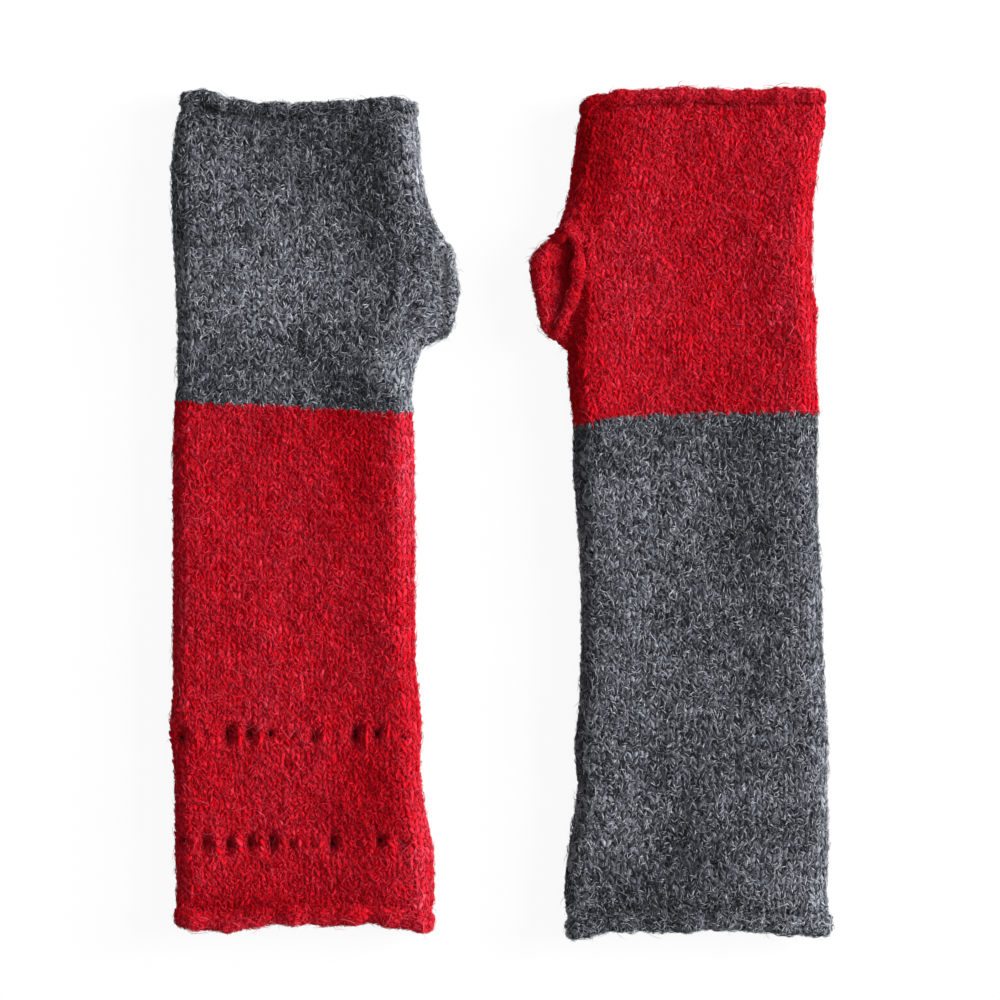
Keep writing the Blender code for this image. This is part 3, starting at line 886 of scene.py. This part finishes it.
def finished(tree, strands, wool, spare):
    """Lays the strand map, drops what was only needed on the way and sets the wool."""
    share = 1 - 2 * CELL_MARGIN
    inset, start = (share, share, 0.0), (CELL_MARGIN, CELL_MARGIN, 0.0)
    within = vector_maths(tree, "MULTIPLY_ADD", marked(tree, "strand"), inset, start)
    place = scaled(tree, vector_maths(tree, "ADD", within, marked(tree, "cell")), 1 / CELLS)
    strands = stored(tree, strands, "OFBake", place, domain="CORNER")
    for label in ("strand", "cell", *spare):
        strands = add(tree, "GeometryNodeRemoveAttribute", {"Geometry": strands, "Name": label}).outputs[0]
    done = add(tree, "GeometryNodeSetMaterial", {"Geometry": strands, "Material": wool})
    add(tree, "NodeGroupOutput", {0: done.outputs[0]})


def yarn_tree():
    """Lays one leg of yarn at every point: knit legs, purl bumps and overcast seam stitches."""
    inputs = {
        "Fullness": 0.62,
        "Arch": 0.4,
        "Turn": math.radians(12),
        "Size spread": 0.18,
        "Shade": -0.06,
        "Patch size": 0.03,
        "Patch shade": 0.3,
    }
    tree, given = new_tree("yarn_legs", inputs)
    seed = given["Seed"]
    bow = {"bend": 0.0, "lift": given["Arch"], "fullness": given["Fullness"]}
    leg = strand_mesh(tree, sides=4, rings=4, across=1.0, **bow)
    tone = maths(tree, "ADD", marked(tree, "tone", "FLOAT"), given["Shade"])
    points = celled(tree, given["Geometry"], seed, patched(tree, tone, given))
    wobble = combined(tree, *(swing(tree, given["Turn"], seed, shift) for shift in (2, 3, 4)))
    turn = turned(tree, "YZ", marked(tree, "run"), marked(tree, "outward"), wobble)
    spread = maths(tree, "MULTIPLY", given["Size spread"], chance(tree, -1.0, 1.0, seed, 5))
    size = scaled(tree, marked(tree, "size"), maths(tree, "ADD", 1.0, spread))
    legs = realized(tree, laid(tree, points, leg, turn, size))
    finished(tree, legs, given["Wool"], ("run", "outward", "size", "tone"))
    return tree


def strewn(tree, given, one, seed):
    """Strews one kind of fibre over a skin, as densely as its cover says, along the legs of the knitting."""
    density = maths(tree, "MULTIPLY", given[one + " density"], marked(tree, "cover", "FLOAT"))
    values = {"Mesh": given["Geometry"], "Density": density, "Seed": seed}
    spread = add(tree, "GeometryNodeDistributePointsOnFaces", values).outputs
    tone = chance(tree, given[one + " shade low"], given[one + " shade high"], seed, 2)
    # Adds the patches of painted shade and painted highlight to each fibre's tone
    tone = maths(tree, "ADD", tone, marked(tree, "painted_shading", "FLOAT"))
    points = stored(tree, spread["Points"], "upward", spread["Normal"], "FLOAT_VECTOR")
    height = maths(tree, "MULTIPLY", given["Depth"], chance(tree, *FIBRE_HEIGHTS, seed, 7))
    raised = scaled(tree, marked(tree, "upward"), height)
    points = add(tree, "GeometryNodeSetPosition", {"Geometry": points, "Offset": raised}).outputs[0]
    points = celled(tree, points, seed, patched(tree, tone, given))
    second_leg = maths(tree, "GREATER_THAN", maths(tree, "FRACT", marked(tree, "phase", "FLOAT")), 0.5)
    leg_side = maths(tree, "MULTIPLY_ADD", second_leg, 2.0, -1.0)
    swept = swing(tree, given[one + " sweep"], seed, 4)
    stand = swing(tree, given[one + " stand"], seed, 3, FIBRE_STAND_BACK)
    lean = maths(tree, "MULTIPLY_ADD", leg_side, given[one + " lean"], swept)
    turn = turned(tree, "ZY", marked(tree, "upward"), marked(tree, "wale"), combined(tree, stand, 0.0, lean))
    long = maths(tree, "MULTIPLY", given[one + " length"], chance(tree, *FIBRE_LENGTHS, seed, 5))
    size = combined(tree, long, long, maths(tree, "MULTIPLY", long, given[one + " flatness"]))
    across = maths(tree, "DIVIDE", given[one + " thickness"], given[one + " length"])
    bow = {"bend": given[one + " curl"], "lift": 0.0, "fullness": FIBRE_FULLNESS}
    fibre = strand_mesh(tree, sides=3, rings=FIBRE_RINGS[one], across=across, **bow)
    return laid(tree, points, fibre, turn, size)


def waved(tree, given, strands):
    """Bends the fibres by a noise field, and keeps them off the table."""
    place = position(tree)
    waves = noise(tree, place, FIBRE_WAVES, detail=0.0)["Color"]
    bend = vector_maths(tree, "SUBTRACT", waves, (0.5, 0.5, 0.5))
    moved = vector_maths(tree, "ADD", place, scaled(tree, bend, given["Waviness"]))
    lifted = vector_maths(tree, "MAXIMUM", moved, combined(tree, ANYWHERE, ANYWHERE, given["Table"]))
    return add(tree, "GeometryNodeSetPosition", {"Geometry": strands, "Position": lifted}).outputs[0]


def fuzz_tree():
    """Strews loose wool over a skin: short fibres that lie on it, and longer strays that stand off it."""
    fibres = {
        "density": (1850000.0, 45000.0),
        "length": (0.0026, 0.0085),
        "thickness": (0.00044, 0.00016),
        "lean": (math.radians(36), 0.0),
        "sweep": (math.radians(46), math.radians(180)),
        "stand": (math.radians(14), math.radians(14)),
        "curl": (0.0, 0.5),
        "flatness": (0.4, 1.0),
        "shade low": (0.34, 0.65),
        "shade high": (0.68, 0.95),
    }
    inputs = {f"{one} {size}": fibres[size][i] for i, one in enumerate(FIBRE_RINGS) for size in fibres}
    inputs.update({"Patch size": 0.03, "Patch shade": 0.34})
    inputs.update({"Depth": 0.0006, "Waviness": 0.0016, "Table": 0.0003})
    tree, given = new_tree("wool_fuzz", inputs)
    both = tree.nodes.new("GeometryNodeJoinGeometry")
    strews = []
    for order, one in enumerate(FIBRE_RINGS):
        strews.append(strewn(tree, given, one, maths(tree, "ADD", given["Seed"], FIBRE_SEED_STEP * order)))
    for strew in strews:
        tree.links.new(strew, both.inputs[0])
    strands = waved(tree, given, realized(tree, both.outputs[0]))
    finished(tree, strands, given["Wool"], ("upward", "wale", "phase", "cover", "painted_shading"))
    return tree


def dressed(name, mesh, tree, **inputs):
    """Runs a tree on a mesh and keeps the result as a plain mesh."""
    piece = new_piece(name, mesh)
    modifier = piece.modifiers.new(tree.name, "NODES")
    modifier.node_group = tree
    sockets = {item.name: item.identifier for item in tree.interface.items_tree if item.in_out == "INPUT"}
    for label, value in inputs.items():
        modifier[sockets[label.replace("_", " ")]] = value
    graph = bpy.context.evaluated_depsgraph_get()
    made = bpy.data.meshes.new_from_object(piece.evaluated_get(graph))
    piece.modifiers.clear()
    piece.data = made
    made.name = name
    bpy.data.meshes.remove(mesh)
    return piece


def skin(name, glove, fabric, keep, wales, inner_from):
    """What the fuzz grows on: the knitting's outside as far as the roll, and its inside from a row on."""
    rows, columns = fabric.points.shape[:2]
    quads, row = fabric.quads(), fabric.quad_rows()
    outer = quads[keep & (row < fabric.roll_from + 1)]
    inner = quads[keep & (row >= inner_from)][:, ::-1] + rows * columns
    outside, inside = fabric.out * FUZZ_LIFT, fabric.out * PURL_FUZZ_LIFT
    points = np.concatenate([fabric.points + outside, fabric.points - inside]).reshape(-1, 3)
    mesh = mesh_of(name, points, np.concatenate([outer, inner]))
    mark(mesh, "wale", np.tile(fabric.wale.reshape(-1, 3), (2, 1)))
    mark(mesh, "phase", np.tile(np.arange(columns) / columns * wales, 2 * rows))
    facing = np.concatenate([fabric.out[..., 2], -fabric.out[..., 2]]).ravel()
    mark(mesh, "cover", np.where(facing < UNDERSIDE_FACING, UNDERSIDE_COVER, 1.0))
    # The fuzz's tone carries patches of painted shade and painted highlight
    shade = painted_shading_at(glove, points).reshape(2, rows, columns)
    # Painted shade: the inside of a sleeve darkens with depth, where it lies in shade
    shade[1] -= PAINTED_INSIDE_SHADE * eased((PAINTED_SHADE_FROM - fabric.run / fabric.roll_run) / PAINTED_SHADE_OVER)[:, None]
    mark(mesh, "painted_shading", shade.ravel())
    return mesh


def strand_group():
    """Reads the strand map: each cell's shade, streaked along the strand by its own fibres."""
    inputs = (
        ("Strand map", "Vector", None),
        ("Streak length", "Float", 2.6),
        ("Streaks across", "Float", 7.0),
        ("Streak contrast", "Float", 0.55),
    )
    outputs = ("Shade", "Float"), ("Height", "Float")
    group, given = new_group("wool_strand", "ShaderNodeTree", inputs, outputs)
    cells = scaled(group, given["Strand map"], float(CELLS))
    parts = add(group, "ShaderNodeSeparateXYZ", {0: cells}).outputs
    row = maths(group, "DIVIDE", maths(group, "ADD", maths(group, "FLOOR", parts[1]), 0.5), float(CELLS))
    along = maths(group, "MULTIPLY", parts[0], given["Streak length"])
    across = maths(group, "MULTIPLY", parts[1], given["Streaks across"])
    place = combined(group, along, across, 0.0)
    streaks = noise(group, place, scale=1.0, detail=3.0, roughness=0.6, noise_dimensions="2D")[0]
    contrast = maths(group, "MULTIPLY", maths(group, "SUBTRACT", streaks, 0.5), given["Streak contrast"])
    add(group, "NodeGroupOutput", {"Shade": maths(group, "ADD", row, contrast), "Height": streaks})
    return group


def new_material(name, settings):
    """A material whose shader has plain settings, and its tree and shader."""
    material = bpy.data.materials.new(name)
    material.use_nodes = True
    shader = material.node_tree.nodes["Principled BSDF"]
    for label, value in settings.items():
        shader.inputs[label].default_value = value
    return material, material.node_tree, shader


def woolly(tree, shader, shade, colours, height, rough, strength, distance):
    """Colours a shader by shade, and makes it rough and uneven by the height of its fibres."""
    ramp = add(tree, "ShaderNodeValToRGB", {0: shade})
    stops = ramp.color_ramp.elements
    while len(stops) < len(colours):
        stops.new(0.5)
    for stop, (place, colour) in zip(stops, colours):
        stop.position = place
        stop.color = (*colour, 1.0)
    roughness = add(tree, "ShaderNodeMapRange", {0: height, 3: rough[0], 4: rough[1]})
    bump = add(tree, "ShaderNodeBump", {"Strength": strength, "Distance": distance, "Height": height})
    for label, node in (("Base Color", ramp), ("Roughness", roughness), ("Normal", bump)):
        tree.links.new(node.outputs[0], shader.inputs[label])


def wool(name, group, colours, tint, sheen):
    """Wool yarn and fibre: the linear colours run from its darkest to its palest fibre."""
    settings = {
        "Specular IOR Level": 0.04,
        "Sheen Weight": sheen,
        "Sheen Roughness": 0.45,
        "Sheen Tint": (*tint, 1.0),
    }
    material, tree, shader = new_material(name, settings)
    fibre = add(tree, "ShaderNodeGroup", node_tree=group)
    tree.links.new(add(tree, "ShaderNodeUVMap", uv_map="OFBake").outputs[0], fibre.inputs["Strand map"])
    shade, height = fibre.outputs["Shade"], fibre.outputs["Height"]
    woolly(tree, shader, shade, colours, height, rough=(0.78, 0.98), strength=0.35, distance=0.0003)
    return material


def felt(name, dark, light):
    """The felted cloth between and behind the stitches, matted from the same wool. The grey felt's near-black
    colours are painted shade for the gaps between the stitches.
    """
    material, tree, shader = new_material(name, {"Specular IOR Level": 0.1})
    place = add(tree, "ShaderNodeTexCoord").outputs["Object"]
    matted = noise(tree, place, scale=900.0, detail=4.0, roughness=0.65)[0]
    patches = noise(tree, place, scale=160.0, detail=2.0)[0]
    mixed = maths(tree, "MULTIPLY_ADD", patches, 0.5, maths(tree, "MULTIPLY", matted, 0.5))
    colours = ((0.36, dark), (0.64, light))
    woolly(tree, shader, mixed, colours, matted, rough=(0.85, 1.0), strength=0.6, distance=0.0005)
    return material


STRAND = strand_group()
WOOLS = {
    "grey_wool": wool(
        "grey_wool_yarn",
        STRAND,
        (
            (0.0, (0.008, 0.010, 0.014)),
            (0.35, (0.126, 0.136, 0.159)),
            (0.65, (0.290, 0.307, 0.341)),
            (1.0, (0.46, 0.48, 0.52)),
        ),
        tint=(0.75, 0.78, 0.85),
        sheen=0.2,
    ),
    "red_wool": wool(
        "red_wool_yarn",
        STRAND,
        (
            (0.0, (0.28, 0.000, 0.002)),
            (0.35, (0.52, 0.0015, 0.008)),
            (0.8, (0.66, 0.027, 0.054)),
            (1.0, (0.78, 0.11, 0.16)),
        ),
        tint=(1.0, 0.12, 0.22),
        sheen=0.15,
    ),
}
FELTS = {
    # The grey felt is near black: painted shade in the gaps between the stitches
    "grey_wool": felt("grey_wool_felt_painted_shade", (0.008, 0.009, 0.012), (0.040, 0.043, 0.050)),
    "red_wool": felt("red_wool_felt", (0.40, 0.001, 0.006), (0.54, 0.004, 0.013)),
}
# Both trees are set for the red wool. The grey wool is more matted and more marbled.
FUZZ_OF = {
    "grey_wool": {
        "Fibre_thickness": 0.00038,
        "Fibre_sweep": math.radians(52),
        "Fibre_shade_low": -0.30,
        "Fibre_shade_high": 0.92,
        "Patch_size": 0.022,
        "Patch_shade": 0.74,
    },
    "red_wool": {},
}
YARN_OF = {
    "grey_wool": {"Fullness": 0.85, "Shade": -0.26, "Patch_size": 0.022, "Patch_shade": 0.60},
    "red_wool": {},
}
YARN = yarn_tree()
FUZZ = fuzz_tree()


def knitted(glove, part, legs, slot):
    *shapes, tones = legs
    # Each leg's tone carries the patches of painted shade and painted highlight
    places = yarn_places(part + "_places", *shapes, tones + painted_shading_at(glove, shapes[0]))
    seed = glove.seed_of(part)
    piece = dressed(glove.name(part), places, YARN, Seed=seed, Wool=WOOLS[slot], **YARN_OF[slot])
    return piece


def fuzzed(glove, part, fabric, keep, slot, wales, inner_from):
    inner_from = fabric.roll_from + 2 if inner_from is None else inner_from
    base = skin(part + "_skin", glove, fabric, keep, wales, inner_from)
    seed = glove.seed_of(part)
    piece = dressed(glove.name(part), base, FUZZ, Seed=seed, Wool=WOOLS[slot], **FUZZ_OF[slot])
    return piece


def dress(glove, part, edge, fabric, keep, knits, fuzz, wales=WALES, inner_from=None):
    """Lays a tube's cloth with its yarn and fuzz in place of its solids."""
    slot = glove.cuff_wool if part == "cuff" else glove.hand_wool
    base = cloth(glove.name(part + "_cloth"), fabric, keep, FELTS[slot])
    pieces = [knitted(glove, part + "_knit" + end, legs, slot) for end, legs in knits.items()]
    for end, kept in fuzz.items():
        pieces.append(fuzzed(glove, part + "_fuzz" + end, fabric, kept, slot, wales, inner_from))
    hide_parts(glove.name(part + "_tube"), glove.name(edge))
    return [base, *pieces]


def bent_at_wrist(glove, pieces):
    for piece in pieces:
        glove.name("hand")
        glove.name("cuff")
        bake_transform(piece)


def hand(glove):
    fabric = body_fabric(glove, glove.finger_end)
    rng = np.random.default_rng(glove.seed_of("hand_stitches"))
    keep = ~glove.in_slot(fabric.points.reshape(-1, 3))[fabric.quads()].all(1)
    legs = knit_legs(fabric, WALES, 0.0, fabric.roll_run + KNIT_PAST_ROLL, rng)
    legs = chosen(legs, ~glove.in_slot(legs[0]))
    rolls = purl_legs(fabric, WALES, fabric.roll_run + PURL_FROM_ROLL, fabric.run[-1], rng)
    near = fabric.run[fabric.quad_rows()] < fabric.roll_run / 2
    fuzz = {"_wrist": keep & near, "_finger": keep & ~near}
    bent_at_wrist(glove, dress(glove, "hand", "finger_roll", fabric, keep, {"": joined(legs, rolls)}, fuzz))


def cuff(glove):
    fabric = body_fabric(glove, glove.cuff_end)
    rng = np.random.default_rng(glove.seed_of("cuff_stitches"))
    eyelets = glove.eyelets()
    middles = fabric.points.reshape(-1, 3)[fabric.quads()].mean(1)
    keep, fuzzy = np.ones((2, len(middles)), bool)
    for x, y, radius, layer in eyelets:
        here, away = near_eyelet(middles, x, y, layer)
        keep &= ~(here & (away / radius < glove.eyelet_hole))
        fuzzy &= ~(here & (away / radius < EYELET_FUZZ_GAP))
    half = fabric.roll_run / 2
    near = fabric.run[fabric.quad_rows()] < half
    upper = knit_legs(fabric, WALES, 0.0, half, rng, eyelets)
    lower = knit_legs(fabric, WALES, half, fabric.roll_run + KNIT_PAST_ROLL, rng, eyelets)
    rolls = purl_legs(fabric, WALES, fabric.roll_run + PURL_FROM_ROLL, fabric.run[-1], rng)
    knits = {"_wrist": upper, "_hem": joined(lower, rolls)}
    fuzz = {"_wrist": fuzzy & near, "_hem": fuzzy & ~near}
    bent_at_wrist(glove, dress(glove, "cuff", "cuff_roll", fabric, keep, knits, fuzz))


def thumb(glove):
    fabric = thumb_fabric(glove)
    rng = np.random.default_rng(glove.seed_of("thumb_stitches"))
    keep = np.ones(len(fabric.quads()), bool)
    legs = knit_legs(fabric, THUMB_WALES, 0.0, fabric.roll_run + KNIT_PAST_ROLL, rng)
    inside = purl_legs(fabric, THUMB_WALES, THUMB_INSIDE_FROM, fabric.roll_run, rng)
    # Painted shade on the purl bumps inside the thumb sleeve
    inside[-1] -= PAINTED_INSIDE_SHADE / 2
    rolls = purl_legs(fabric, THUMB_WALES, fabric.roll_run + PURL_FROM_ROLL, fabric.run[-1], rng)
    legs = joined(legs, inside, rolls)
    legs = chosen(legs, np.abs(legs[2][:, 1]) < THUMB_EDGE_FACING)
    x, y = glove.slot_x, glove.slot_middle()
    for piece in dress(glove, "thumb", "thumb_roll", fabric, keep, {"": legs}, {"": keep}, THUMB_WALES, 0):
        glove.name("hand")
        glove.name("thumb")
        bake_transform(piece)


def seam(glove, node, low, high, slot):
    """A linked seam inside the thumb-side fold: overcast legs that lean to and fro along its line."""
    count = round((high - low) / SEAM_STEP)
    at = low + (np.arange(count) + 0.5) / count * (high - low)
    fold = glove.edges(at)[1 if glove.thumb_way > 0 else 0]
    x = fold - glove.thumb_way * SEAM_INSET
    places = np.stack([x, glove.wrist[1] + at, np.full(count, TUBE_HEIGHT / 2)], 1)
    lean = np.where(np.arange(count) % 2, 1.0, -1.0)
    runs = unit(np.stack([np.zeros(count), np.ones(count), SEAM_LEAN * lean], 1))
    outs = np.tile((-float(glove.thumb_way), 0.0, 0.0), (count, 1))
    sizes = np.tile(SEAM_LEG, (count, 1))
    piece = knitted(glove, node + "_yarn", [places, runs, outs, sizes, np.full(count, SEAM_TONE)], slot)
    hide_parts(glove.name(node))
    bent_at_wrist(glove, [piece])


def seams(glove):
    low, high = glove.slot()
    seam(glove, "upper_hand_seam", high + SEAM_GAP, glove.finger_end - SEAM_FROM_FINGERS, glove.hand_wool)
    seam(glove, "lower_hand_seam", SEAM_GAP, low - SEAM_GAP, glove.hand_wool)
    seam(glove, "cuff_seam", glove.cuff_end + SEAM_FROM_HEM, -SEAM_GAP, glove.cuff_wool)


def floor():
    """A pale floor. The camera sees it almost white, with the gloves' soft shadow on it."""
    corners = np.array([(-1, -1, 0), (1, -1, 0), (1, 1, 0), (-1, 1, 0)]) * FLOOR_HALF
    mesh = mesh_of("floor", corners, [(0, 1, 2, 3)])
    settings = {"Base Color": FLOOR_PAPER, "Roughness": 0.9, "Specular IOR Level": 0.0}
    material, tree, paper = new_material("floor_paper", settings)
    bright = add(tree, "ShaderNodeEmission", {"Color": WHITE, "Strength": 1.0})
    rays = add(tree, "ShaderNodeLightPath").outputs
    seen = maths(tree, "MAXIMUM", rays["Is Camera Ray"], rays["Is Glossy Ray"])
    seen = maths(tree, "MAXIMUM", seen, rays["Is Transmission Ray"])
    share = maths(tree, "MULTIPLY", seen, FLOOR_BRIGHT)
    mix = add(tree, "ShaderNodeMixShader", {0: share, 1: paper.outputs[0], 2: bright.outputs[0]})
    tree.links.new(mix.outputs[0], tree.nodes["Material Output"].inputs["Surface"])
    mesh.materials.append(material)
    new_piece("floor", mesh)


def lamp(name, place, size, power):
    """A square lamp that faces the middle of the pair."""
    light = bpy.data.lights.new(name, "AREA")
    light.shape = "SQUARE"
    light.size = size
    light.energy = power
    piece = new_piece(name, light)
    x, y, z = place
    piece.rotation_euler = (math.atan2(math.hypot(x, y), z), 0.0, math.atan2(-y, -x) - math.pi / 2)
    piece.location = place


def studio():
    scene = bpy.context.scene
    world = bpy.data.worlds.new("studio")
    world.use_nodes = True
    sky = world.node_tree.nodes["Background"].inputs
    sky["Color"].default_value = WHITE
    sky["Strength"].default_value = WORLD_LIGHT
    scene.world = world
    for settings in LAMPS:
        lamp(*settings)
    data = bpy.data.cameras.new("camera")
    data.lens = CAMERA_LENS
    data.sensor_width = CAMERA_SENSOR
    scene.camera = new_piece("camera", data)
    scene.camera.location = CAMERA_PLACE
    scene.view_settings.view_transform = "Standard"


studio()
floor()
for glove in (LEFT, RIGHT):
    hand(glove)
    cuff(glove)
    thumb(glove)
    seams(glove)
